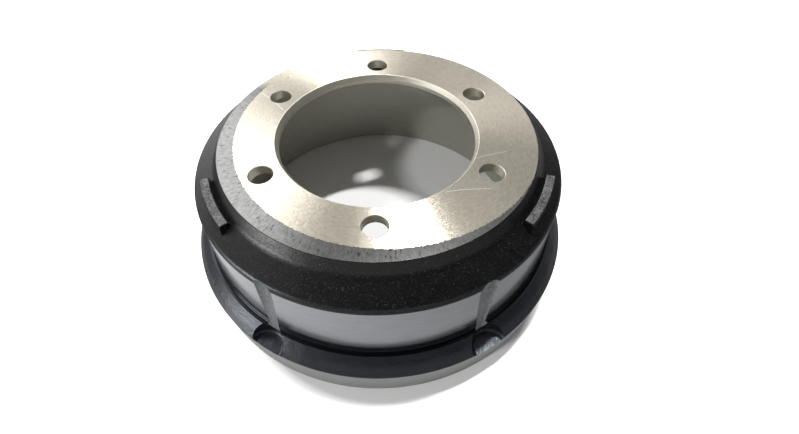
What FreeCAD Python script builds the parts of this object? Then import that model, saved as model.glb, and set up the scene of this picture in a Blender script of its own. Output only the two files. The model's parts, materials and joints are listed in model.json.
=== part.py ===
import FreeCAD, Part
import os
import re
import Sketcher
from FreeCAD import Placement, Rotation, Vector

# A one-piece cast-iron brake drum, open end down. Z is the axis of rotation,
# z = 0 is the plane that the open end rests on, and the mounting face looks up.
# Millimetres and degrees throughout.

doc = FreeCAD.newDocument("BrakeDrum")
sheet = doc.addObject("Spreadsheet::Sheet", "Sizes")

driving = {
    # friction track, where the shoes rub
    "frictionDiameter": 320.0,
    "trackLength": 95.0,
    "mouthChamfer": 2.0,
    "trackStep": 4.0,
    "trackRunOut": 6.0,
    # turned band outside the track, wider at its foot, and the lip of the shoulder over it
    "bandWall": 11.0,
    "bandFlare": 7.0,
    "bandFoot": 3.0,
    "bandSeat": 1.3,
    "shoulderLip": 0.5,
    "shoulderLand": 0.4,
    # cone from the shoulder in to the riser, and the riser up to the face
    "coneRun": 21.5,
    "coneFall": 11.5,
    "riserRun": 6.5,
    "riserDrop": 10.5,
    # mounting face: its edge to the bolt circle, then to the edge of the hub bore's lead-in
    "faceLand": 32.375,
    "boltLand": 18.625,
    "leadInWidth": 2.5,
    "leadInDepth": 4.0,
    "boreChamfer": 1.5,
    "boltHoleDiameter": 21.0,
    "boltHoleCount": 6,
    # head of the drum, from the face down to the inner end of the track
    "headDepth": 33.0,
    "webThickness": 9.0,
    "coneWall": 9.5,
    "coneInset": 4.0,
    "webCornerInset": 6.5,
    # flange round the open end
    "flangeReach": 17.8,
    "flangeRoot": 47.0,
    "flangeFall": 14.0,
    # raised arc bars on the cone, set out from the foot of the riser
    "barCount": 3,
    "barSetOut": 6.75,
    "barWidth": 7.5,
    "barSpan": 21.8,
    "barProud": 3.0,
    "barDraft": 8.0,
    # upright flutes through the shoulder, and the scoop under each in the flange
    "fluteCount": 6,
    "fluteRadius": 9.0,
    "fluteDepth": 6.1,
    "fluteFootDepth": 1.0,
    "fluteArch": 5.0,
    "scoopRadius": 17.2,
    "scoopSetback": 0.2,
    "scoopDepth": 2.0,
    "scoopBowl": 5.0,
    # rounded corners of the casting and broken edges of the machining
    "riserFillet": 12.0,
    "shoulderFillet": 6.0,
    "rimFillet": 3.0,
    "innerFillet": 6.0,
    "barFillet": 1.0,
    "faceBreak": 0.8,
    "edgeBreak": 0.5,
}

# radii outwards and inwards from the track, then heights up from the open end
derived = {
    "frictionRadius": "=frictionDiameter / 2",
    "castRadius": "=frictionRadius - trackStep",
    "bandRadius": "=frictionRadius + bandWall",
    "shoulderRadius": "=bandRadius + shoulderLip",
    "bandFootRadius": "=bandRadius + bandFlare",
    "flangeRadius": "=bandFootRadius + flangeReach",
    "riserRadius": "=shoulderRadius - coneRun",
    "barReach": "=riserRadius + barSetOut",
    "faceRadius": "=riserRadius - riserRun",
    "boltReach": "=faceRadius - faceLand",
    "leadInRadius": "=boltReach - boltLand",
    "boreRadius": "=leadInRadius - leadInWidth",
    "trackEnd": "=mouthChamfer + trackLength",
    "overallHeight": "=trackEnd + headDepth",
    "webUnderside": "=overallHeight - webThickness",
    "riserHeight": "=overallHeight - riserDrop",
    "coneHeight": "=riserHeight - coneFall",
    "shoulderTangent": "=shoulderFillet * tan((90deg - atan(coneFall / coneRun)) / 2)",
    "shoulderEdge": "=coneHeight - shoulderTangent - shoulderLand",
    "barTop": "=riserHeight + barProud",
    "rimHeight": "=flangeRoot - flangeFall",
    "fluteTop": "=shoulderEdge + fluteArch",
    "fluteReach": "=shoulderRadius - fluteDepth + fluteRadius",
    "fluteLean": "=atan((bandFootRadius - fluteFootDepth + fluteRadius - fluteReach) / (fluteTop - flangeRoot))",
}

for row, (alias, number) in enumerate(driving.items(), start=1):
    sheet.set("A%d" % row, alias)
    sheet.set("B%d" % row, str(number))
    sheet.setAlias("B%d" % row, alias)
doc.recompute()

for row, (alias, formula) in enumerate(derived.items(), start=1):
    sheet.set("D%d" % row, alias)
    sheet.set("E%d" % row, formula)
    sheet.setAlias("E%d" % row, alias)
    doc.recompute()

near = 0.01


def size(alias):
    """One value from the sheet, as a plain number."""
    return float(getattr(sheet, alias))


def linked(formula):
    """The same formula with each name written as a cell of the sheet."""
    names = "|".join(list(driving) + list(derived))
    return re.sub(r"\b(%s)\b" % names, r"Sizes.\1", formula)


def worked_out(formula):
    """The number that a formula of the sheet's names comes to."""
    result = sheet.evalExpression(linked(formula))
    return float(getattr(result, "Value", result))


def new_sketch(body, name, plane, offset=None):
    """A sketch on one of the body's own origin planes, raised by a formula."""
    sketch = body.newObject("Sketcher::SketchObject", name)
    origin_plane = [p for p in body.Origin.OriginFeatures if p.Role == plane][0]
    sketch.AttachmentSupport = [(origin_plane, "")]
    sketch.MapMode = "FlatFace"
    if offset:
        sketch.AttachmentOffset = Placement(Vector(0, 0, worked_out(offset)), Rotation())
        sketch.setExpression("AttachmentOffset.Base.z", linked(offset))
    return sketch


def bind(sketch, name, constraint, formula):
    """Add a dimension to the sketch and tie it to the sheet."""
    index = sketch.addConstraint(constraint)
    sketch.renameConstraint(index, name)
    sketch.setExpression("Constraints." + name, linked(formula))


def pin(sketch, geometry, end, name, across, up):
    """Hold one point of the sketch at two formulas, measured from the origin."""
    x = worked_out(across)
    y = worked_out(up)
    bind(sketch, name + "X", Sketcher.Constraint("DistanceX", -1, 1, geometry, end, x), across)
    bind(sketch, name + "Y", Sketcher.Constraint("DistanceY", -1, 1, geometry, end, y), up)


def polygon(sketch, corners):
    """A closed outline of straight lines through named corners."""
    points = [Vector(worked_out(x), worked_out(y), 0) for x, y in corners.values()]
    first = sketch.GeometryCount
    count = len(points)
    for i in range(count):
        sketch.addGeometry(Part.LineSegment(points[i], points[(i + 1) % count]), False)
    for i in range(count):
        following = first + (i + 1) % count
        sketch.addConstraint(Sketcher.Constraint("Coincident", first + i, 2, following, 1))
    for i, (name, (x, y)) in enumerate(corners.items()):
        pin(sketch, first + i, 1, name, x, y)


def rings(shape, radius, height):
    """Names of the circular edges about the drum's axis at a radius and height."""
    found = []
    for number, edge in enumerate(shape.Edges, start=1):
        if not isinstance(edge.Curve, Part.Circle):
            continue
        centre = edge.Curve.Center
        on_axis = abs(centre.x) < near and abs(centre.y) < near
        if on_axis and abs(centre.z - height) < near and abs(edge.Curve.Radius - radius) < near:
            found.append("Edge%d" % number)
    return found


def hole_edges(shape):
    """Names of both rims of every bolt hole."""
    found = []
    for number, edge in enumerate(shape.Edges, start=1):
        if not isinstance(edge.Curve, Part.Circle):
            continue
        centre = edge.Curve.Center
        reach = Vector(centre.x, centre.y, 0).Length
        on_circle = abs(reach - size("boltReach")) < near
        if on_circle and abs(edge.Curve.Radius - size("boltHoleDiameter") / 2) < near:
            found.append("Edge%d" % number)
    return found


def bar_top_edges(shape):
    """Names of the edges round the flat top of each raised bar."""
    found = []
    for number, edge in enumerate(shape.Edges, start=1):
        if all(abs(vertex.Z - size("barTop")) < near for vertex in edge.Vertexes):
            reach = Vector(edge.CenterOfMass.x, edge.CenterOfMass.y, 0).Length
            if abs(reach - size("barReach")) < size("barWidth"):
                found.append("Edge%d" % number)
    return found


def dress(body, kind, name, edges, value):
    """Round or break the named edges of the body's last feature."""
    base = body.Tip
    feature = body.newObject(kind, name)
    feature.Base = (base, edges)
    amount = "Radius" if kind == "PartDesign::Fillet" else "Size"
    feature.setExpression(amount, linked(value))
    body.Tip = feature
    doc.recompute()


def ring_pattern(body, name, features, count):
    """Repeat features evenly round the drum's axis."""
    pattern = body.newObject("PartDesign::PolarPattern", name)
    pattern.Originals = features
    z_axis = [a for a in body.Origin.OriginFeatures if a.Role == "Z_Axis"][0]
    pattern.Axis = (z_axis, [""])
    pattern.Angle = 360
    pattern.setExpression("Occurrences", linked(count))
    body.Tip = pattern
    doc.recompute()


def turned_blank(body):
    """The whole section of the drum, revolved about its axis."""
    section = new_sketch(body, "SectionSketch", "XZ_Plane")
    polygon(section, {
        "leadInFoot": ("boreRadius", "overallHeight - leadInDepth"),
        "leadInTop": ("leadInRadius", "overallHeight"),
        "faceEdge": ("faceRadius", "overallHeight"),
        "riserFoot": ("riserRadius", "riserHeight"),
        "shoulderTop": ("shoulderRadius", "coneHeight"),
        "shoulderEnd": ("shoulderRadius", "shoulderEdge"),
        "bandTop": ("bandRadius", "shoulderEdge - shoulderLip"),
        "bandEnd": ("bandFootRadius", "flangeRoot"),
        "seatEnd": ("bandFootRadius + bandFoot + bandSeat", "flangeRoot"),
        "rimTop": ("flangeRadius", "rimHeight"),
        "rimFoot": ("flangeRadius", "0"),
        "mouthFoot": ("frictionRadius + mouthChamfer", "0"),
        "trackFoot": ("frictionRadius", "mouthChamfer"),
        "trackTop": ("frictionRadius", "trackEnd"),
        "castFoot": ("castRadius", "trackEnd"),
        "castTop": ("castRadius", "trackEnd + trackRunOut"),
        "coneInside": ("riserRadius - coneInset", "riserHeight - coneWall"),
        "webCorner": ("faceRadius - webCornerInset", "webUnderside"),
        "boreFoot": ("boreRadius", "webUnderside"),
    })
    doc.recompute()
    blank = body.newObject("PartDesign::Revolution", "Blank")
    blank.Profile = section
    blank.ReferenceAxis = (section, ["V_Axis"])
    blank.Angle = 360
    body.Tip = blank
    doc.recompute()


def corners_and_edges(body):
    """Cast corners are rounded, turned edges are broken."""
    height = size("overallHeight")
    riser_foot = (size("riserRadius"), size("riserHeight"))
    shoulder_top = (size("shoulderRadius"), size("coneHeight"))
    band_end = (size("bandFootRadius"), size("flangeRoot"))
    rim_top = (size("flangeRadius"), size("rimHeight"))
    cast_top = (size("castRadius"), size("trackEnd") + size("trackRunOut"))
    cone_inside = (riser_foot[0] - size("coneInset"), riser_foot[1] - size("coneWall"))
    web_corner = (size("faceRadius") - size("webCornerInset"), size("webUnderside"))
    face_edge = (size("faceRadius"), height)
    lead_in_top = (size("leadInRadius"), height)
    bore_foot = (size("boreRadius"), size("webUnderside"))
    rim_foot = (size("flangeRadius"), 0)

    rounded = [
        ("RiserFillet", "riserFillet", [riser_foot]),
        ("ShoulderFillet", "shoulderFillet", [shoulder_top]),
        ("BandFillet", "bandFoot", [band_end]),
        ("RimFillet", "rimFillet", [rim_top]),
        ("InnerFillets", "innerFillet", [cone_inside, web_corner]),
        ("TrackEndFillet", "trackStep", [cast_top]),
    ]
    for name, value, places in rounded:
        edges = [edge for place in places for edge in rings(body.Shape, *place)]
        dress(body, "PartDesign::Fillet", name, edges, value)

    edges = rings(body.Shape, *face_edge)
    dress(body, "PartDesign::Chamfer", "FaceBreak", edges, "faceBreak")
    edges = [edge for place in (lead_in_top, rim_foot) for edge in rings(body.Shape, *place)]
    dress(body, "PartDesign::Chamfer", "LeadInAndRimBreaks", edges, "edgeBreak")
    dress(body, "PartDesign::Chamfer", "BoreChamfer", rings(body.Shape, *bore_foot), "boreChamfer")


def bolt_holes(body):
    """One hole on the bolt circle, repeated round the web."""
    sketch = new_sketch(body, "BoltHoleSketch", "XY_Plane", "overallHeight")
    centre = Vector(0, size("boltReach"), 0)
    radius = size("boltHoleDiameter") / 2
    sketch.addGeometry(Part.Circle(centre, Vector(0, 0, 1), radius), False)
    sketch.addConstraint(Sketcher.Constraint("PointOnObject", 0, 3, -2))
    reach = Sketcher.Constraint("DistanceY", -1, 1, 0, 3, centre.y)
    bind(sketch, "boltCircle", reach, "boltReach")
    bind(sketch, "boltRadius", Sketcher.Constraint("Radius", 0, radius), "boltHoleDiameter / 2")
    hole = body.newObject("PartDesign::Pocket", "BoltHole")
    hole.Profile = sketch
    hole.Type = "ThroughAll"
    doc.recompute()
    ring_pattern(body, "BoltHoles", [hole], "boltHoleCount")
    dress(body, "PartDesign::Chamfer", "BoltHoleBreaks", hole_edges(body.Shape), "edgeBreak")


def raised_bars(body):
    """A short arc-shaped bar on the cone, in line with every other bolt hole."""
    section = new_sketch(body, "BarSketch", "YZ_Plane")
    spread = "(barTop - coneHeight) * tan(barDraft * 1deg)"
    polygon(section, {
        "barInnerTop": ("barReach - barWidth / 2", "barTop"),
        "barOuterTop": ("barReach + barWidth / 2", "barTop"),
        "barOuterFoot": ("barReach + barWidth / 2 + " + spread, "coneHeight"),
        "barInnerFoot": ("barReach - barWidth / 2 - " + spread, "coneHeight"),
    })
    bar = body.newObject("PartDesign::Revolution", "Bar")
    bar.Profile = section
    bar.ReferenceAxis = (section, ["V_Axis"])
    bar.Midplane = True
    bar.setExpression("Angle", linked("barSpan"))
    doc.recompute()
    ring_pattern(body, "Bars", [bar], "barCount")
    dress(body, "PartDesign::Fillet", "BarFillets", bar_top_edges(body.Shape), "barFillet")


def revolved_cut(body, name, axis, corners):
    """A groove whose outline turns about a line drawn in its own sketch."""
    sketch = new_sketch(body, name + "Sketch", "XZ_Plane")
    ends = [Vector(worked_out(x), worked_out(y), 0) for x, y in axis]
    sketch.addGeometry(Part.LineSegment(ends[0], ends[1]), True)
    for number, (x, y) in enumerate(axis):
        pin(sketch, 0, number + 1, "axis%d" % (number + 1), x, y)
    polygon(sketch, corners)
    cut = body.newObject("PartDesign::Groove", name)
    cut.Profile = sketch
    cut.ReferenceAxis = (sketch, ["Axis0"])
    cut.Angle = 360
    doc.recompute()
    return cut


def flutes(body):
    """Half-round flutes down the wall, each ending in a scoop in the flange."""
    axis_foot = "fluteReach + (fluteTop - rimHeight) * tan(fluteLean)"
    flute = revolved_cut(body, "Flute", [("fluteReach", "fluteTop"), (axis_foot, "rimHeight")], {
        "archTop": ("fluteReach", "fluteTop"),
        "archSide": ("fluteReach + fluteRadius * cos(fluteLean)",
                     "fluteTop - fluteArch + fluteRadius * sin(fluteLean)"),
        "fluteFoot": (axis_foot + " + fluteRadius / cos(fluteLean)", "rimHeight"),
        "fluteAxis": (axis_foot, "rimHeight"),
    })
    centre = "flangeRadius - scoopSetback"
    floor = "rimHeight - scoopDepth"
    over = "flangeRoot + flangeFall"
    scoop = revolved_cut(body, "Scoop", [(centre, over), (centre, floor)], {
        "scoopTop": (centre, over),
        "scoopSide": (centre + " + scoopRadius", over),
        "scoopWall": (centre + " + scoopRadius", floor + " + scoopBowl"),
        "scoopBowl": (centre + " + scoopRadius - scoopBowl", floor),
        "scoopFloor": (centre, floor),
    })
    ring_pattern(body, "Flutes", [flute, scoop], "fluteCount")


def checked(body):
    """Stop if any object failed or the solid is not sound."""
    for item in doc.Objects:
        if "Invalid" in item.State or "Error" in item.State:
            raise RuntimeError("%s did not build: %s" % (item.Name, item.State))
    shape = body.Shape
    if shape.isNull() or not shape.isValid() or len(shape.Solids) != 1:
        raise RuntimeError("%s is not one sound solid" % body.Label)
    return shape


def cut_away(body, before, what):
    """Stop if a step that removes metal removed none."""
    if not body.Shape.Volume < before:
        raise RuntimeError("%s cut nothing" % what)


drum = doc.addObject("PartDesign::Body", "BrakeDrumBody")
drum.Label = "brake_drum"

turned_blank(drum)
corners_and_edges(drum)
volume = drum.Shape.Volume
bolt_holes(drum)
cut_away(drum, volume, "the bolt holes")
volume = drum.Shape.Volume
raised_bars(drum)
if not drum.Shape.Volume > volume:
    raise RuntimeError("the raised bars added nothing")
volume = drum.Shape.Volume
flutes(drum)
cut_away(drum, volume, "the flutes")

solid = checked(drum)
os.makedirs("parts", exist_ok=True)
solid.exportStep("parts/%s.step" % drum.Label)
box = solid.BoundBox
print("%s: volume %.1f cm3, height %.2f" % (drum.Label, solid.Volume / 1000, box.ZLength))
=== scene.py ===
import json
import math
import bpy
from mathutils import Matrix, Vector

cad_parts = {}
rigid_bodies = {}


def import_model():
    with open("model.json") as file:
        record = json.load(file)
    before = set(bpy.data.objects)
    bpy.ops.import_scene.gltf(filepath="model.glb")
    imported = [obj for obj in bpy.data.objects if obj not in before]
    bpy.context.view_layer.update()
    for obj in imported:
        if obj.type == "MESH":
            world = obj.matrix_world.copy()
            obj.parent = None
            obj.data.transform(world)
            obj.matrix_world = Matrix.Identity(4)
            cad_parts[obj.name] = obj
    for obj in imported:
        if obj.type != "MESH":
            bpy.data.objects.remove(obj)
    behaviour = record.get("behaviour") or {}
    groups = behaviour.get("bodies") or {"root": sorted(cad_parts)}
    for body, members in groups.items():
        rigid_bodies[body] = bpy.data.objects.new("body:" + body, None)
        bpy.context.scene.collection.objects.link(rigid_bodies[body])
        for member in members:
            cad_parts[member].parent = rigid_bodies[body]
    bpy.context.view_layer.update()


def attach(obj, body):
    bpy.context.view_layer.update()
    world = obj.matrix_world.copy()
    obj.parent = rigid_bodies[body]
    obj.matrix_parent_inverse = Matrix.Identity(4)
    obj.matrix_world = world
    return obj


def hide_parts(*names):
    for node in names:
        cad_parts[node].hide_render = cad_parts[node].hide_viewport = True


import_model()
mm = 0.001
touch = 0.01                     # mm, how near a point lies to count as there
weld = 0.002                     # mm, points nearer than this are made one
print("frame loaded")


# small helpers

def pickOnly(piece):
    for thing in bpy.context.view_layer.objects:
        thing.select_set(False)
    bpy.context.view_layer.objects.active = piece
    piece.select_set(True)


def enterEdit(piece):
    pickOnly(piece)
    bpy.ops.object.mode_set(mode="EDIT")


def leaveEdit():
    bpy.ops.object.mode_set(mode="OBJECT")


def pickVerts(piece, test):
    # picks the vertices whose place, in mm, passes the test
    bpy.ops.mesh.select_mode(type="VERT")
    bpy.ops.mesh.select_all(action="DESELECT")
    bpy.ops.object.mode_set(mode="OBJECT")
    for vert in piece.data.vertices:
        vert.select = bool(test(vert.co / mm))
    bpy.ops.object.mode_set(mode="EDIT")


def setOrigin(piece):
    pickOnly(piece)
    bpy.ops.object.transform_apply(location=True, rotation=True, scale=True)


def outwards(piece):
    enterEdit(piece)
    bpy.ops.mesh.select_all(action="SELECT")
    bpy.ops.mesh.remove_doubles(threshold=weld * mm)
    bpy.ops.mesh.normals_make_consistent(inside=False)
    leaveEdit()


def pulled(start, steps):
    # a line pulled step by step, in mm, from one vertex; the piece stays in edit mode
    bpy.ops.mesh.primitive_plane_add(size=mm, location=[value * mm for value in start])
    piece = bpy.context.object
    setOrigin(piece)
    enterEdit(piece)
    bpy.ops.mesh.select_all(action="SELECT")
    bpy.ops.mesh.merge(type="CENTER")
    for step in steps:
        bpy.ops.mesh.extrude_region_move(TRANSFORM_OT_translate={"value": [value * mm for value in step]})
    return piece


def turned(name, corners, steps, around=(0, 0)):
    # a section of (radius, height, fillet) corners, spun about an upright axis
    first = corners[0]
    piece = pulled((around[0] + first[0], around[1], first[1]), [
        (there[0] - here[0], 0, there[1] - here[1]) for here, there in zip(corners, corners[1:])])
    piece.name = name
    if first[0] > touch:
        # a section that doesn't reach the axis is closed
        ends = [Vector((around[0] + end[0], around[1], end[1])) for end in (first, corners[-1])]
        pickVerts(piece, lambda p: min((p - end).length for end in ends) < touch)
        bpy.ops.mesh.edge_face_add()
    for number, (radius, height, fillet) in enumerate(corners):
        if not fillet:
            continue
        before = Vector(corners[number - 1][:2]) - Vector((radius, height))
        after = Vector(corners[(number + 1) % len(corners)][:2]) - Vector((radius, height))
        cutBack = fillet / math.tan(before.angle(after) / 2)
        place = Vector((around[0] + radius, around[1], height))
        pickVerts(piece, lambda p: (p - place).length < touch)
        # a broken edge under 1 mm gets few segments
        bpy.ops.mesh.bevel(affect="VERTICES", offset=cutBack * mm, segments=2 if fillet < 1 else 8)
    bpy.ops.mesh.select_all(action="SELECT")
    bpy.ops.mesh.spin(steps=steps, angle=2 * math.pi, axis=(0, 0, 1),
                      center=(around[0] * mm, around[1] * mm, 0))
    leaveEdit()
    outwards(piece)
    return piece


def aroundAxis(piece, count):
    # copies all of a piece evenly about the drum's axis
    enterEdit(piece)
    bpy.ops.mesh.select_all(action="SELECT")
    bpy.ops.mesh.spin(steps=count - 1, angle=2 * math.pi * (count - 1) / count, dupli=True,
                      center=(0, 0, 0), axis=(0, 0, 1))
    leaveEdit()


def carve(piece, cutter, kind="DIFFERENCE"):
    cut = piece.modifiers.new("cut", "BOOLEAN")
    cut.operation = kind
    cut.solver = "EXACT"
    cut.object = cutter
    bpy.context.view_layer.objects.active = piece
    bpy.ops.object.modifier_apply(modifier="cut")
    bpy.data.objects.remove(cutter)


# colours and nodes

def colour(hexText):
    # an sRGB hex value as linear colour
    parts = [int(hexText[i:i + 2], 16) / 255 for i in (1, 3, 5)]
    return [p / 12.92 if p <= 0.04045 else ((p + 0.055) / 1.055) ** 2.4 for p in parts] + [1.0]


def addNode(owner, kind, settings=None, values=None, links=None, stops=()):
    # the owner is a material or the world; stops are the (position, colour) points of a colour ramp
    node = owner.node_tree.nodes.new(kind)
    for name, value in (settings or {}).items():
        setattr(node, name, value)
    for socket, value in (values or {}).items():
        node.inputs[socket].default_value = value
    for socket, source in (links or {}).items():
        owner.node_tree.links.new(source, node.inputs[socket])
    while stops and len(node.color_ramp.elements) < len(stops):
        node.color_ramp.elements.new(0.5)
    for number, (position, value) in enumerate(stops):
        node.color_ramp.elements[number].position = position
        node.color_ramp.elements[number].color = value
    return node


def newMaterial(name):
    material = bpy.data.materials.new(name)
    material.use_nodes = True
    material.node_tree.nodes.clear()
    return material


def closeMaterial(material, shader):
    addNode(material, "ShaderNodeOutputMaterial", links={"Surface": shader.outputs[0]})
    return material


def roundPlace(material, along, across, reach, centre=(0, 0)):
    # coordinates that run round an axis, one unit for each mark along and across at that reach, in mm
    place = addNode(material, "ShaderNodeTexCoord")
    flat = addNode(material, "ShaderNodeMapping", values={
        "Location": (-centre[0] * mm, -centre[1] * mm, 0), "Scale": (1, 1, 0)},
        links={"Vector": place.outputs["Object"]})
    radius = addNode(material, "ShaderNodeVectorMath", {"operation": "LENGTH"},
                     links={0: flat.outputs[0]})
    bearing = addNode(material, "ShaderNodeVectorMath", {"operation": "NORMALIZE"},
                      links={0: flat.outputs[0]})
    spread = addNode(material, "ShaderNodeVectorMath", {"operation": "SCALE"},
                     values={"Scale": reach / along}, links={0: bearing.outputs[0]})
    upright = addNode(material, "ShaderNodeSeparateXYZ", links={0: place.outputs["Object"]})
    depth = addNode(material, "ShaderNodeMath", {"operation": "ADD"},
                    links={0: radius.outputs["Value"], 1: upright.outputs["Z"]})
    lift = addNode(material, "ShaderNodeCombineXYZ", links={"Z": depth.outputs[0]})
    marks = addNode(material, "ShaderNodeVectorMath", {"operation": "MULTIPLY_ADD"},
                    values={1: (1, 1, 1 / (across * mm))},
                    links={0: lift.outputs[0], 2: spread.outputs[0]})
    return marks.outputs[0], radius.outputs["Value"]


castSkin = {                     # sizes and depths in mm
    "gritSize": 1.4,             # coarser than the real grit so that it shows
    "lumpSize": 8,
    "lumpShare": 0.4,
    "lumpDepth": 0.5,
    "toneStops": (0.6, 0.95),
    "grainSize": 1.1,            # coarser than the real grains so that they glint
    "grainStops": (0.64, 0.74),
    "grainDepth": 0.5,
    # a fixed colour on the raised grains, paler than the black paint: partly dust, partly a painted glint
    "grainDustAndGlintColour": "#28282b",
    "gloss": 0.36,
}


def makeCastPaint(name, hexText, paleText, roughness, gritDepth):
    # thin black paint on sand-cast iron: a dark, finely gritty skin with sparse raised grains, whose
    # bumps glint and whose own colour is partly dust, partly a painted glint
    material = newMaterial(name)
    place = addNode(material, "ShaderNodeTexCoord")
    grit = addNode(material, "ShaderNodeTexNoise", values={
        "Scale": 1 / (castSkin["gritSize"] * mm), "Detail": 3.0, "Roughness": 0.65},
        links={"Vector": place.outputs["Object"]})
    lumps = addNode(material, "ShaderNodeTexNoise", values={
        "Scale": 1 / (castSkin["lumpSize"] * mm), "Detail": 2.0},
        links={"Vector": place.outputs["Object"]})
    blend = addNode(material, "ShaderNodeMath", {"operation": "MULTIPLY_ADD"},
                    values={1: castSkin["lumpShare"]},
                    links={0: lumps.outputs["Fac"], 2: grit.outputs["Fac"]})
    tone = addNode(material, "ShaderNodeValToRGB", links={"Fac": blend.outputs[0]}, stops=[
        (castSkin["toneStops"][0], colour(hexText)), (castSkin["toneStops"][1], colour(paleText))])
    waves = addNode(material, "ShaderNodeBump", values={
        "Strength": 0.3, "Distance": castSkin["lumpDepth"] * mm}, links={"Height": lumps.outputs["Fac"]})
    skin = addNode(material, "ShaderNodeBump", values={"Strength": 1.0, "Distance": gritDepth * mm},
                   links={"Height": grit.outputs["Fac"], "Normal": waves.outputs["Normal"]})
    specks = addNode(material, "ShaderNodeTexNoise", values={
        "Scale": 1 / (castSkin["grainSize"] * mm), "Detail": 1.0},
        links={"Vector": place.outputs["Object"]})
    grains = addNode(material, "ShaderNodeMapRange", values={
        "From Min": castSkin["grainStops"][0], "From Max": castSkin["grainStops"][1]},
        links={"Value": specks.outputs["Fac"]})
    raised = addNode(material, "ShaderNodeBump", values={
        "Strength": 1.0, "Distance": castSkin["grainDepth"] * mm},
        links={"Height": grains.outputs["Result"], "Normal": skin.outputs["Normal"]})
    # the grains take that colour: partly dust, partly a painted glint
    speckledWithGlints = addNode(material, "ShaderNodeMix", {"data_type": "RGBA"},
                       values={7: colour(castSkin["grainDustAndGlintColour"])},
                       links={0: grains.outputs["Result"], 6: tone.outputs["Color"]})
    body = addNode(material, "ShaderNodeBsdfPrincipled", values={
        "Roughness": roughness, "Specular IOR Level": castSkin["gloss"]},
        links={"Base Color": speckledWithGlints.outputs[2], "Normal": raised.outputs["Normal"]})
    return closeMaterial(material, body)


turnedFace = {                   # lengths in mm
    "colour": "#bdb7aa",
    "stain": "#a8a193",
    "stainSize": 38,
    "stainShare": 0.35,
    "toneStops": (0.45, 0.85),
    "roughness": 0.33,
    "drawn": 0.95,               # how far the gloss is drawn out across the marks
    "markPitch": 1.5,            # coarser than the real tool marks so that they show
    "markLength": 4.5,
    "markDepth": 0.14,
    "markReach": 115,            # from the axis, where the marks have that length
    "scratches": [               # from and to
        ((84.0, -38.7), (112.1, -27.4)), ((56.8, -76.6), (91.8, -70.4)), ((-116.6, 62.0), (-87.8, 36.2))],
    "scratchColour": "#f4f2ec",
    "scratchHalf": 0.22,         # half its width
    "scratchBow": 3.0,           # per m
    "maskCentre": (8.47, 6.94),  # where the masking disc was laid on the face
    "maskRadius": 138.75,
    "maskBlur": 0.12,
    "maskWander": 2.1,           # of its edge, either way
    "wanderSize": 2.6,
    "maskEnds": (80, 68),        # at the back, where the disc reached the face's edge
    "marginTones": [(0.26, "#2c2c2c"), (0.38, "#4f4f4e"), (0.75, "#5e5e5d")],
    "marginRoughness": 0.18,
    "dashLength": 1.8,
    "dashWidth": 4,
    "dashDepth": 0.05,
    "dashReach": 141,
}


def drawScratches(material, place):
    # fine bright scratches, each in a frame of its own
    scratched = None
    for start, end in turnedFace["scratches"]:
        half = math.dist(start, end) / 2 * mm
        turn = math.atan2(end[1] - start[1], end[0] - start[0])
        local = addNode(material, "ShaderNodeMapping", {"vector_type": "TEXTURE"}, values={
            "Location": (start[0] * mm, start[1] * mm, 0), "Rotation": (0, 0, turn)},
            links={"Vector": place.outputs["Object"]})
        ends = addNode(material, "ShaderNodeSeparateXYZ", links={0: local.outputs[0]})
        bow = addNode(material, "ShaderNodeMath", {"operation": "MULTIPLY"},
                      links={0: ends.outputs["X"], 1: ends.outputs["X"]})
        line = addNode(material, "ShaderNodeMath", {"operation": "MULTIPLY_ADD"},
                       values={1: turnedFace["scratchBow"]},
                       links={0: bow.outputs[0], 2: ends.outputs["Y"]})
        thin = addNode(material, "ShaderNodeMath", {"operation": "COMPARE"},
                       values={1: 0.0, 2: turnedFace["scratchHalf"] * mm}, links={0: line.outputs[0]})
        within = addNode(material, "ShaderNodeMath", {"operation": "COMPARE"},
                         values={1: half, 2: half}, links={0: ends.outputs["X"]})
        one = addNode(material, "ShaderNodeMath", {"operation": "MULTIPLY"},
                      links={0: thin.outputs[0], 1: within.outputs[0]})
        if scratched:
            one = addNode(material, "ShaderNodeMath", {"operation": "MAXIMUM"},
                          links={0: scratched.outputs[0], 1: one.outputs[0]})
        scratched = one
    return scratched


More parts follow.
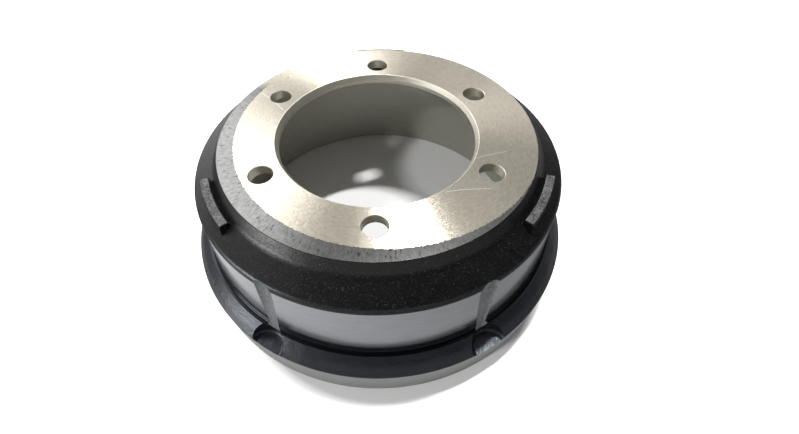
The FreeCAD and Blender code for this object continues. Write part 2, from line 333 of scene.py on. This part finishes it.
def makeTurnedFace():
    # bare grey iron turned on a lathe, warm and bright; outside the masking disc it keeps a dark
    # margin with a dull metal gloss
    material = newMaterial("turnedGreyIron")
    marks = roundPlace(material, turnedFace["markLength"], turnedFace["markPitch"],
                       turnedFace["markReach"])[0]
    rings = addNode(material, "ShaderNodeTexNoise", values={
        "Scale": 1.0, "Detail": 3.0, "Roughness": 0.65}, links={"Vector": marks})
    toolMarks = addNode(material, "ShaderNodeBump", values={
        "Strength": 1.0, "Distance": turnedFace["markDepth"] * mm},
        links={"Height": rings.outputs["Fac"]})
    tangent = addNode(material, "ShaderNodeTangent", {"direction_type": "RADIAL", "axis": "Z"})
    place = addNode(material, "ShaderNodeTexCoord")
    stains = addNode(material, "ShaderNodeTexNoise", values={
        "Scale": 1 / (turnedFace["stainSize"] * mm), "Detail": 4.0, "Roughness": 0.6},
        links={"Vector": place.outputs["Object"]})
    mottle = addNode(material, "ShaderNodeMath", {"operation": "MULTIPLY_ADD"},
                     values={1: turnedFace["stainShare"]},
                     links={0: stains.outputs["Fac"], 2: rings.outputs["Fac"]})
    tone = addNode(material, "ShaderNodeValToRGB", links={"Fac": mottle.outputs[0]}, stops=[
        (turnedFace["toneStops"][0], colour(turnedFace["stain"])),
        (turnedFace["toneStops"][1], colour(turnedFace["colour"]))])
    scratched = drawScratches(material, place)
    shine = addNode(material, "ShaderNodeMix", {"data_type": "RGBA"},
                    values={7: colour(turnedFace["scratchColour"])},
                    links={0: scratched.outputs[0], 6: tone.outputs["Color"]})
    bare = addNode(material, "ShaderNodeBsdfPrincipled", values={
        "Metallic": 1.0, "Roughness": turnedFace["roughness"],
        "Anisotropic": turnedFace["drawn"], "Anisotropic Rotation": 0.25},
        links={"Base Color": shine.outputs[2], "Normal": toolMarks.outputs["Normal"],
               "Tangent": tangent.outputs["Tangent"]})
    # the margin has short chatter marks across it
    dashes, reach = roundPlace(material, turnedFace["dashLength"], turnedFace["dashWidth"],
                               turnedFace["dashReach"], turnedFace["maskCentre"])
    chatter = addNode(material, "ShaderNodeTexNoise", values={"Scale": 1.0, "Detail": 2.0},
                      links={"Vector": dashes})
    smear = addNode(material, "ShaderNodeValToRGB", links={"Fac": chatter.outputs["Fac"]}, stops=[
        (position, colour(hexText)) for position, hexText in turnedFace["marginTones"]])
    brushed = addNode(material, "ShaderNodeBump", values={
        "Strength": 0.4, "Distance": turnedFace["dashDepth"] * mm},
        links={"Height": chatter.outputs["Fac"]})
    margin = addNode(material, "ShaderNodeBsdfPrincipled", values={
        "Metallic": 1.0, "Roughness": turnedFace["marginRoughness"]},
        links={"Base Color": smear.outputs["Color"], "Normal": brushed.outputs["Normal"]})
    # its edge is ragged, and it stops at the back
    ragged = addNode(material, "ShaderNodeTexNoise", values={
        "Scale": 1 / (turnedFace["wanderSize"] * mm), "Detail": 4.0, "Roughness": 0.7},
        links={"Vector": place.outputs["Object"]})
    wander = addNode(material, "ShaderNodeMath", {"operation": "MULTIPLY_ADD"}, values={
        1: 2 * turnedFace["maskWander"] * mm, 2: -turnedFace["maskWander"] * mm},
        links={0: ragged.outputs["Fac"]})
    edge = addNode(material, "ShaderNodeMath", {"operation": "ADD"},
                   links={0: reach, 1: wander.outputs[0]})
    masked = addNode(material, "ShaderNodeMapRange", values={
        "From Min": (turnedFace["maskRadius"] - turnedFace["maskBlur"]) * mm,
        "From Max": (turnedFace["maskRadius"] + turnedFace["maskBlur"]) * mm},
        links={"Value": edge.outputs[0]})
    sides = addNode(material, "ShaderNodeSeparateXYZ", links={0: place.outputs["Object"]})
    front = addNode(material, "ShaderNodeMapRange", values={
        "From Min": turnedFace["maskEnds"][0] * mm, "From Max": turnedFace["maskEnds"][1] * mm},
        links={"Value": sides.outputs["Y"]})
    left = addNode(material, "ShaderNodeMath", {"operation": "MULTIPLY"},
                   links={0: masked.outputs["Result"], 1: front.outputs["Result"]})
    both = addNode(material, "ShaderNodeMixShader", links={
        0: left.outputs[0], 1: bare.outputs[0], 2: margin.outputs[0]})
    return closeMaterial(material, both)


turnedWall = {                   # lengths in mm
    "ringLength": 14,
    "ringPitch": 1.4,            # coarser than the real rings so that they show
    "ringReach": 165,
    "ringStops": (0.3, 0.7),
    "ringDark": 0.88,            # of the wall's colour
}


def makeTurnedWall(name, hexText, roughness, metallic, markDepth, drawn):
    # grey iron turned or bored: short fine rings about the axis
    material = newMaterial(name)
    marks = roundPlace(material, turnedWall["ringLength"], turnedWall["ringPitch"],
                       turnedWall["ringReach"])[0]
    rings = addNode(material, "ShaderNodeTexNoise", values={"Scale": 1.0, "Detail": 2.0},
                    links={"Vector": marks})
    skin = addNode(material, "ShaderNodeBump", values={"Strength": 0.5, "Distance": markDepth * mm},
                   links={"Height": rings.outputs["Fac"]})
    base = colour(hexText)
    tone = addNode(material, "ShaderNodeValToRGB", links={"Fac": rings.outputs["Fac"]}, stops=[
        (turnedWall["ringStops"][0], [c * turnedWall["ringDark"] for c in base[:3]] + [1.0]),
        (turnedWall["ringStops"][1], base)])
    tangent = addNode(material, "ShaderNodeTangent", {"direction_type": "RADIAL", "axis": "Z"})
    wall = addNode(material, "ShaderNodeBsdfPrincipled", values={
        "Metallic": metallic, "Roughness": roughness, "Anisotropic": drawn, "Anisotropic Rotation": 0.25},
        links={"Base Color": tone.outputs["Color"], "Normal": skin.outputs["Normal"],
               "Tangent": tangent.outputs["Tangent"]})
    return closeMaterial(material, wall)


glossPaint = {
    "waveSize": 16,              # mm
    "waveDepth": 3,              # times the grain's
    "grainSize": 1.6,            # mm
    "tint": "#e4ecf9",           # of its reflections
}


def makeEnamel(name, hexText, roughness, grainDepth, gloss):
    # black paint run glossy over the iron: the sand's grain shows softly through it
    material = newMaterial(name)
    place = addNode(material, "ShaderNodeTexCoord")
    waves = addNode(material, "ShaderNodeTexNoise", values={
        "Scale": 1 / (glossPaint["waveSize"] * mm), "Detail": 2.0},
        links={"Vector": place.outputs["Object"]})
    swell = addNode(material, "ShaderNodeBump", values={
        "Strength": 0.75, "Distance": glossPaint["waveDepth"] * grainDepth * mm},
        links={"Height": waves.outputs["Fac"]})
    grain = addNode(material, "ShaderNodeTexNoise", values={
        "Scale": 1 / (glossPaint["grainSize"] * mm), "Detail": 3.0},
        links={"Vector": place.outputs["Object"]})
    skin = addNode(material, "ShaderNodeBump", values={"Strength": 0.9, "Distance": grainDepth * mm},
                   links={"Height": grain.outputs["Fac"], "Normal": swell.outputs["Normal"]})
    body = addNode(material, "ShaderNodeBsdfPrincipled", values={
        "Base Color": colour(hexText), "Roughness": roughness, "Specular IOR Level": gloss,
        "Specular Tint": colour(glossPaint["tint"])},
        links={"Normal": skin.outputs["Normal"]})
    return closeMaterial(material, body)


finishes = {
    # name, colour, paler colour, roughness, depth of the grit in mm
    "castPaint": makeCastPaint("blackPaintOnSandCastIron", "#080809", "#141415", 0.3, 0.16),
    # the bar tops are paler than the sides: partly grit and dust, partly a painted sheen where they catch
    # the light
    "castTop": makeCastPaint("roughPaintAndPaintedSheenOnBarTops", "#181818", "#7c7c7c", 0.35, 0.9),
    "castPocket": makeCastPaint("duskyPaintOnSandCastIron", "#6f7375", "#8b8f91", 0.5, 0.3),
    "turnedFace": makeTurnedFace(),
    # name, colour, roughness, metallic, depth of the marks in mm, how far the gloss is drawn out
    "boredIron": makeTurnedWall("boredGreyIron", "#cfcabd", 0.5, 1.0, 0.03, 0.0),
    "frictionTrack": makeTurnedWall("frictionTrackIron", "#b2b1a6", 0.42, 0.6, 0.03, 0.7),
    "turnedBand": makeTurnedWall("turnedBandIron", "#b9bcc0", 0.17, 1.0, 0.006, 0.0),
    # name, colour, roughness, depth of the grain in mm, gloss
    "seatPaint": makeEnamel("glossBlackPaintOnTurnedIron", "#040405", 0.2, 0.02, 0.2),
    "enamel": makeEnamel("glossBlackPaintOnCastIron", "#15161a", 0.3, 0.35, 0.5),
    # as for the walls above
    "rimIron": makeTurnedWall("turnedRimIron", "#b2b2b0", 0.45, 0.6, 0.03, 0.0),
}
print("materials made")


# the drum

drum = {                         # in mm and degrees
    # from the bore over the outside and back inside: radius, height, fillet
    "section": [
        (90, 126, 0), (92.5, 130, 0.5), (143.5, 130, 0.8), (150, 119.5, 12), (171.5, 108, 6),
        (171.5, 104, 0), (171, 103.5, 0), (178, 47, 3), (182.3, 47, 0), (189.5, 40.6, 30),
        (195.8, 33, 3), (195.8, 0, 0.5), (162, 0, 0), (160, 2, 0), (160, 97, 0), (156, 97, 0),
        (156, 103, 4), (146, 110, 6), (137, 121, 6), (91.5, 121, 0), (90, 122.5, 0)],
    "turnSteps": 288,
    # finish, radius from and to, height from and to: the first zone round a face's middle counts
    "zones": [
        ("turnedFace", 92.8, 143.1, 129.4, 999),
        ("boredIron", 0, 137, 110, 999),
        ("castPaint", 143, 999, 103.8, 999),
        ("rimIron", 161, 999, -1, 31),
        ("turnedBand", 161, 999, 49.8, 999),
        ("seatPaint", 161, 182.3, -1, 999),
        ("enamel", 161, 999, -1, 999),
        ("frictionTrack", 0, 999, -1, 97.1),
        ("castPaint", 0, 999, -1, 999)],
    "boltCircle": 111.125,       # its radius
    "boltRadius": 10.5,
    "boltCount": 6,
    "boltSides": 72,
    "boltRunOut": 4,             # of the cutter, past the faces
    "holeBreak": 0.5,
    "webFoot": 121,
    "faceHeight": 130,
    "barInner": 153,
    "barOuter": 160.5,
    "barTop": 122.5,
    "barDepth": 14.5,
    "barSpan": 21.8,
    "barDraft": 8,
    "barEdge": 1.0,
    "barCrown": 0.4,             # of the rounded edge, has the top's finish with its painted sheen
    "barSteps": 24,
    "barCount": 3,
    "fluteRadius": 9,
    "fluteTop": 109,
    "fluteFoot": 33,
    "fluteArch": 6,
    "fluteReach": 174.4,         # of its axis at the top
    "fluteLean": 10.6,
    "scoopReach": 195.6,
    "scoopRadius": 17.2,
    "scoopFloor": 31,
    "scoopTop": 61,
    "scoopBowl": 5,
    "fluteSteps": 48,
    "fluteCount": 6,
    "smoothAngle": 28,
    "flatWeight": 100,           # how strongly big faces set the shading
}


def drumFinish(radius, height):
    for name, inner, outer, low, high in drum["zones"]:
        if inner < radius < outer and low < height < high:
            return name


def finishFaces(piece, choose):
    # gives a piece every finish as a slot, then each face the one that its place asks for
    piece.data.materials.clear()
    for material in finishes.values():
        piece.data.materials.append(material)
    names = list(finishes)
    for face in piece.data.polygons:
        centre = face.center / mm
        face.material_index = names.index(choose(math.hypot(centre.x, centre.y), centre.z))


def makeBlank():
    blank = turned("brakeDrum", drum["section"], drum["turnSteps"])
    finishFaces(blank, drumFinish)
    return blank


def makeBoltCutters():
    # a plain shank with a broken edge at each end, a little past the web's faces
    top, foot, edge = drum["faceHeight"], drum["webFoot"], drum["holeBreak"]
    radius, reach = drum["boltRadius"], drum["boltCircle"]
    bpy.ops.mesh.primitive_cylinder_add(
        vertices=drum["boltSides"], radius=radius * mm, depth=(top - foot - 2 * edge) * mm,
        location=(0, reach * mm, (top + foot) / 2 * mm))
    cutter = bpy.context.object
    setOrigin(cutter)
    grow = (radius + edge) / radius
    for end, way in ((top - edge, 1), (foot + edge, -1)):
        enterEdit(cutter)
        pickVerts(cutter, lambda p: abs(p.z - end) < touch)
        bpy.ops.mesh.extrude_region_move(TRANSFORM_OT_translate={"value": (0, 0, way * edge * mm)})
        bpy.ops.transform.resize(value=(grow, grow, 1), center_override=(0, reach * mm, 0))
        bpy.ops.mesh.extrude_region_move(
            TRANSFORM_OT_translate={"value": (0, 0, way * drum["boltRunOut"] * mm)})
        leaveEdit()
    aroundAxis(cutter, drum["boltCount"])
    outwards(cutter)
    finishFaces(cutter, lambda radius, height: "boredIron")
    return cutter


def makeBars():
    # a bar's section, wider at its foot, spun through the bar's short arc
    inner, outer, top, depth = (drum[key] for key in ("barInner", "barOuter", "barTop", "barDepth"))
    span = math.radians(drum["barSpan"])
    widen = depth * math.tan(math.radians(drum["barDraft"]))
    bar = pulled((inner, 0, top), [
        (outer - inner, 0, 0), (widen, 0, -depth), (inner - outer - 2 * widen, 0, 0)])
    bpy.ops.mesh.select_all(action="SELECT")
    bpy.ops.mesh.edge_face_add()
    # the arc's middle comes to the first bolt hole's bearing
    bpy.ops.transform.rotate(value=-(math.pi + span) / 2, orient_axis="Z", center_override=(0, 0, 0))
    bpy.ops.mesh.spin(steps=drum["barSteps"], angle=span, center=(0, 0, 0), axis=(0, 0, 1))
    pickVerts(bar, lambda p: p.z > top - touch)
    bpy.ops.mesh.select_mode(type="EDGE")
    bpy.ops.mesh.region_to_loop()
    bpy.ops.mesh.bevel(offset=drum["barEdge"] * mm, segments=4)
    leaveEdit()
    aroundAxis(bar, drum["barCount"])
    outwards(bar)
    # the tops get the paler finish, a painted sheen over their grit
    finishFaces(bar, lambda radius, height: "castTop" if height > top - drum["barCrown"] else "castPaint")
    return bar


def makeFluteCutters():
    # the flutes, arched at the top and leaning out towards the foot, and the scoops below them
    lean = math.tan(math.radians(drum["fluteLean"]))
    top, foot, radius = drum["fluteTop"], drum["fluteFoot"], drum["fluteRadius"]
    flute = turned("flute", [
        (0, top, 0), (radius, top, drum["fluteArch"]), (radius, foot, 0), (0, foot, 0)],
        drum["fluteSteps"], around=(drum["fluteReach"], 0))
    enterEdit(flute)
    pickVerts(flute, lambda p: p.z < foot + touch)
    bpy.ops.transform.translate(value=((top - foot) * lean * mm, 0, 0))
    leaveEdit()
    brim, floor, width = drum["scoopTop"], drum["scoopFloor"], drum["scoopRadius"]
    scoop = turned("scoop", [
        (0, brim, 0), (width, brim, 0), (width, floor, drum["scoopBowl"]), (0, floor, 0)],
        drum["fluteSteps"], around=(drum["scoopReach"], 0))
    for cutter, skin in ((flute, "castPocket"), (scoop, "enamel")):
        aroundAxis(cutter, drum["fluteCount"])
        outwards(cutter)
        finishFaces(cutter, lambda radius, height: skin)
    return flute, scoop


brakeDrum = makeBlank()
print("blank spun", len(brakeDrum.data.polygons))
carve(brakeDrum, makeBoltCutters())
print("bolt holes cut", len(brakeDrum.data.polygons))
for cutter in makeFluteCutters():
    carve(brakeDrum, cutter)
print("flutes cut", len(brakeDrum.data.polygons))
carve(brakeDrum, makeBars(), "UNION")
print("bars joined", len(brakeDrum.data.polygons))

pickOnly(brakeDrum)
bpy.ops.object.shade_smooth_by_angle(angle=math.radians(drum["smoothAngle"]))
# big flat faces keep flat shading beside the small rounded edges
even = brakeDrum.modifiers.new("even", "WEIGHTED_NORMAL")
even.keep_sharp = True
even.weight = drum["flatWeight"]
bpy.ops.object.modifier_apply(modifier="even")
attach(brakeDrum, "root")
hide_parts("brake_drum")


# studio

studio = {
    "floorHalf": 1.4,            # m
    "floorDrop": 0.2,            # mm below the drum
    "floorColour": "#e8e8e8",
    "floorShadeInMirrors": ("#c2c2c2", "#7e7e7e"),   # painted shade seen only in mirrors, paler at the left and darker at the right of the drum
    "mirroredHalf": 220,         # mm, from the middle to either of them
    "mirrorShadePatch": "#282828",      # of a patch at the left that only mirrors see: painted shade in the reflections
    "darkPlace": (-480, 60),     # mm
    "darkReach": (270, 180),     # mm, where the patch starts and is full
    "floorInside": 180,          # mm, the floor within the drum is neither white nor darker
    "glowCentre": (9.5, -49),    # mm, where the floor's white begins round the drum's shadow
    "glowReach": (159, 170),     # mm
    "glowLevel": 0.7,
    "worldLevel": 0.27,
    "lampAim": (0, 0, 0.05),     # m
    # name: direction towards the lamp, distance, turn about that direction, size in m, power in W,
    # seen in mirrors
    "lamps": {
        "keyLamp": ((15, 38, 125), 2.2, 45, (0.4, 0.09), 52, True),
        "sideLamp": ((-121, -85, 125), 2.4, 0, (0.24, 0.24), 27, False),
    },
    # what mirrors see: the level by height, then soft panels, which multiply it where dark and add to
    # it where pale, each with its direction, the cosines where it starts and is full, and its level
    "heights": [(0.0, 1.0), (0.3, 0.62), (0.55, 0.68), (0.72, 1.18), (1.0, 1.18)],
    "darkPanels": [((0.927, 0.375, 0.0), 0.6, 0.8, 0.12), ((0.0, -0.47, 0.88), 0.6, 0.88, 0.12),
                   ((0.64, -0.30, 0.707), 0.68, 0.86, 0.15)],
    "palePanels": [((-0.54, 0.60, 0.588), 0.92, 0.97, 5.0), ((-0.92, -0.39, 0.087), 0.96, 0.99, 12.0)],
    "frameWidth": 799,           # pixels
    "focalLength": 366.094,      # pixels
    "frameShift": (18.885, 38.287),   # pixels
    "sensorWidth": 36,           # mm
    "cameraPlace": (8.2508, -281.4495, 343.6483),   # mm
    "cameraTurn": (-1.58443, 55.99305, -1.68275),   # heading, tilt down and roll, in degrees
    "cameraClip": (0.01, 50),    # m
}


def makeFloor():
    bpy.ops.mesh.primitive_plane_add(
        size=2 * studio["floorHalf"], location=(0, 0, -studio["floorDrop"] * mm))
    floor = bpy.context.object
    floor.name = "floor"
    material = newMaterial("paleFloor")
    place = addNode(material, "ShaderNodeTexCoord")
    # it glows white round the drum and its shadow, for the camera alone
    shift = addNode(material, "ShaderNodeMapping", values={
        "Location": [-value * mm for value in studio["glowCentre"]] + [0]},
        links={"Vector": place.outputs["Object"]})
    radius = addNode(material, "ShaderNodeVectorMath", {"operation": "LENGTH"},
                     links={0: shift.outputs[0]})
    clear = addNode(material, "ShaderNodeMapRange", values={
        "From Min": studio["glowReach"][0] * mm, "From Max": studio["glowReach"][1] * mm,
        "To Max": studio["glowLevel"]}, links={"Value": radius.outputs["Value"]})
    reach = addNode(material, "ShaderNodeVectorMath", {"operation": "LENGTH"},
                    links={0: place.outputs["Object"]})
    outside = addNode(material, "ShaderNodeMath", {"operation": "GREATER_THAN"},
                      values={1: studio["floorInside"] * mm}, links={0: reach.outputs["Value"]})
    white = addNode(material, "ShaderNodeMath", {"operation": "MULTIPLY"},
                    links={0: clear.outputs["Result"], 1: outside.outputs[0]})
    ray = addNode(material, "ShaderNodeLightPath")
    lift = addNode(material, "ShaderNodeMath", {"operation": "MULTIPLY"},
                   links={0: white.outputs[0], 1: ray.outputs["Is Camera Ray"]})
    # mirrored in the drum's outside, the floor is painted darker towards the right and in a patch at the
    # left: painted shade in the reflections
    sides = addNode(material, "ShaderNodeSeparateXYZ", links={0: place.outputs["Object"]})
    across = addNode(material, "ShaderNodeMapRange", values={
        "From Min": -studio["mirroredHalf"] * mm, "From Max": studio["mirroredHalf"] * mm},
        links={"Value": sides.outputs["X"]})
    near = addNode(material, "ShaderNodeMix", {"data_type": "RGBA"}, values={
        6: colour(studio["floorShadeInMirrors"][0]), 7: colour(studio["floorShadeInMirrors"][1])},
        links={0: across.outputs["Result"]})
    aside = addNode(material, "ShaderNodeMapping", values={
        "Location": [-value * mm for value in studio["darkPlace"]] + [0]},
        links={"Vector": place.outputs["Object"]})
    away = addNode(material, "ShaderNodeVectorMath", {"operation": "LENGTH"}, links={0: aside.outputs[0]})
    patch = addNode(material, "ShaderNodeMapRange", values={
        "From Min": studio["darkReach"][0] * mm, "From Max": studio["darkReach"][1] * mm},
        links={"Value": away.outputs["Value"]})
    mirrored = addNode(material, "ShaderNodeMix", {"data_type": "RGBA"},
                       values={7: colour(studio["mirrorShadePatch"])},
                       links={0: patch.outputs["Result"], 6: near.outputs[2]})
    fromOutside = addNode(material, "ShaderNodeMath", {"operation": "MULTIPLY"},
                          links={0: outside.outputs[0], 1: ray.outputs["Is Glossy Ray"]})
    paper = addNode(material, "ShaderNodeMix", {"data_type": "RGBA"},
                    values={6: colour(studio["floorColour"])},
                    links={0: fromOutside.outputs[0], 7: mirrored.outputs[2]})
    pale = addNode(material, "ShaderNodeBsdfDiffuse", links={"Color": paper.outputs[2]})
    glow = addNode(material, "ShaderNodeEmission", links={"Strength": lift.outputs[0]})
    both = addNode(material, "ShaderNodeAddShader", links={0: pale.outputs[0], 1: glow.outputs[0]})
    floor.data.materials.append(closeMaterial(material, both))


def makeWorld():
    world = bpy.data.worlds.new("studio")
    bpy.context.scene.world = world
    world.use_nodes = True
    world.node_tree.nodes.clear()
    ray = addNode(world, "ShaderNodeLightPath")
    soft = addNode(world, "ShaderNodeBackground", values={
        "Color": colour("#ffffff"), "Strength": studio["worldLevel"]})
    white = addNode(world, "ShaderNodeBackground", values={"Color": colour("#ffffff"), "Strength": 1.0})
    # the room that shiny surfaces mirror: pale at the back and left, dark at the front and right
    way = addNode(world, "ShaderNodeTexCoord")
    split = addNode(world, "ShaderNodeSeparateXYZ", links={0: way.outputs["Generated"]})
    level = addNode(world, "ShaderNodeValToRGB", links={"Fac": split.outputs["Z"]}, stops=[
        (height, (shade, shade, shade, 1.0)) for height, shade in studio["heights"]])
    total = level.outputs["Color"]
    for kind, plain, panels in (("MULTIPLY", 1.0, studio["darkPanels"]),
                                ("ADD", 0.0, studio["palePanels"])):
        for aim, start, end, strength in panels:
            near = addNode(world, "ShaderNodeVectorMath", {"operation": "DOT_PRODUCT"},
                           values={1: Vector(aim).normalized()}, links={0: way.outputs["Generated"]})
            panel = addNode(world, "ShaderNodeMapRange", values={
                "From Min": start, "From Max": end, "To Min": plain, "To Max": strength},
                links={"Value": near.outputs["Value"]})
            total = addNode(world, "ShaderNodeMath", {"operation": kind},
                            links={0: total, 1: panel.outputs["Result"]}).outputs[0]
    mirrored = addNode(world, "ShaderNodeBackground", values={"Color": colour("#ffffff")},
                       links={"Strength": total})
    glossy = addNode(world, "ShaderNodeMixShader", links={
        0: ray.outputs["Is Glossy Ray"], 1: soft.outputs[0], 2: mirrored.outputs[0]})
    seen = addNode(world, "ShaderNodeMixShader", links={
        0: ray.outputs["Is Camera Ray"], 1: glossy.outputs[0], 2: white.outputs[0]})
    addNode(world, "ShaderNodeOutputWorld", links={"Surface": seen.outputs[0]})


def makeLamps():
    aim = Vector(studio["lampAim"])
    for name, (way, distance, turn, area, power, mirrored) in studio["lamps"].items():
        way = Vector(way).normalized()
        bpy.ops.object.light_add(type="AREA", location=aim + way * distance)
        lamp = bpy.context.object
        lamp.name = name
        flat = Vector((-way.y, way.x, 0)).normalized()
        long = (Matrix.Rotation(math.radians(turn), 3, way) @ flat).normalized()
        lamp.matrix_world = Matrix.Translation(aim + way * distance) @ Matrix(
            (long, way.cross(long), way)).transposed().to_4x4()
        lamp.data.shape = "RECTANGLE"
        lamp.data.size, lamp.data.size_y = area
        lamp.data.energy = power
        lamp.visible_glossy = mirrored


def makeCamera():
    # the frame's width in pixels turns the focal length and the shift into the camera's own units
    width = studio["frameWidth"]
    heading, tilt, roll = (math.radians(a) for a in studio["cameraTurn"])
    ahead = Vector((math.sin(heading) * math.cos(tilt), math.cos(heading) * math.cos(tilt),
                    -math.sin(tilt)))
    level = Vector((math.cos(heading), -math.sin(heading), 0))
    up = level.cross(ahead)
    right = level * math.cos(roll) + up * math.sin(roll)
    top = up * math.cos(roll) - level * math.sin(roll)
    bpy.ops.object.camera_add()
    camera = bpy.context.object
    camera.matrix_world = Matrix.Translation(Vector(studio["cameraPlace"]) * mm) @ Matrix(
        (right, top, -ahead)).transposed().to_4x4()
    camera.data.lens = studio["sensorWidth"] * studio["focalLength"] / width
    camera.data.sensor_width = studio["sensorWidth"]
    camera.data.shift_x, camera.data.shift_y = (value / width for value in studio["frameShift"])
    camera.data.clip_start, camera.data.clip_end = studio["cameraClip"]
    bpy.context.scene.camera = camera


makeFloor()
makeWorld()
makeLamps()
makeCamera()
bpy.context.scene.view_settings.view_transform = "Standard"
print("studio set")
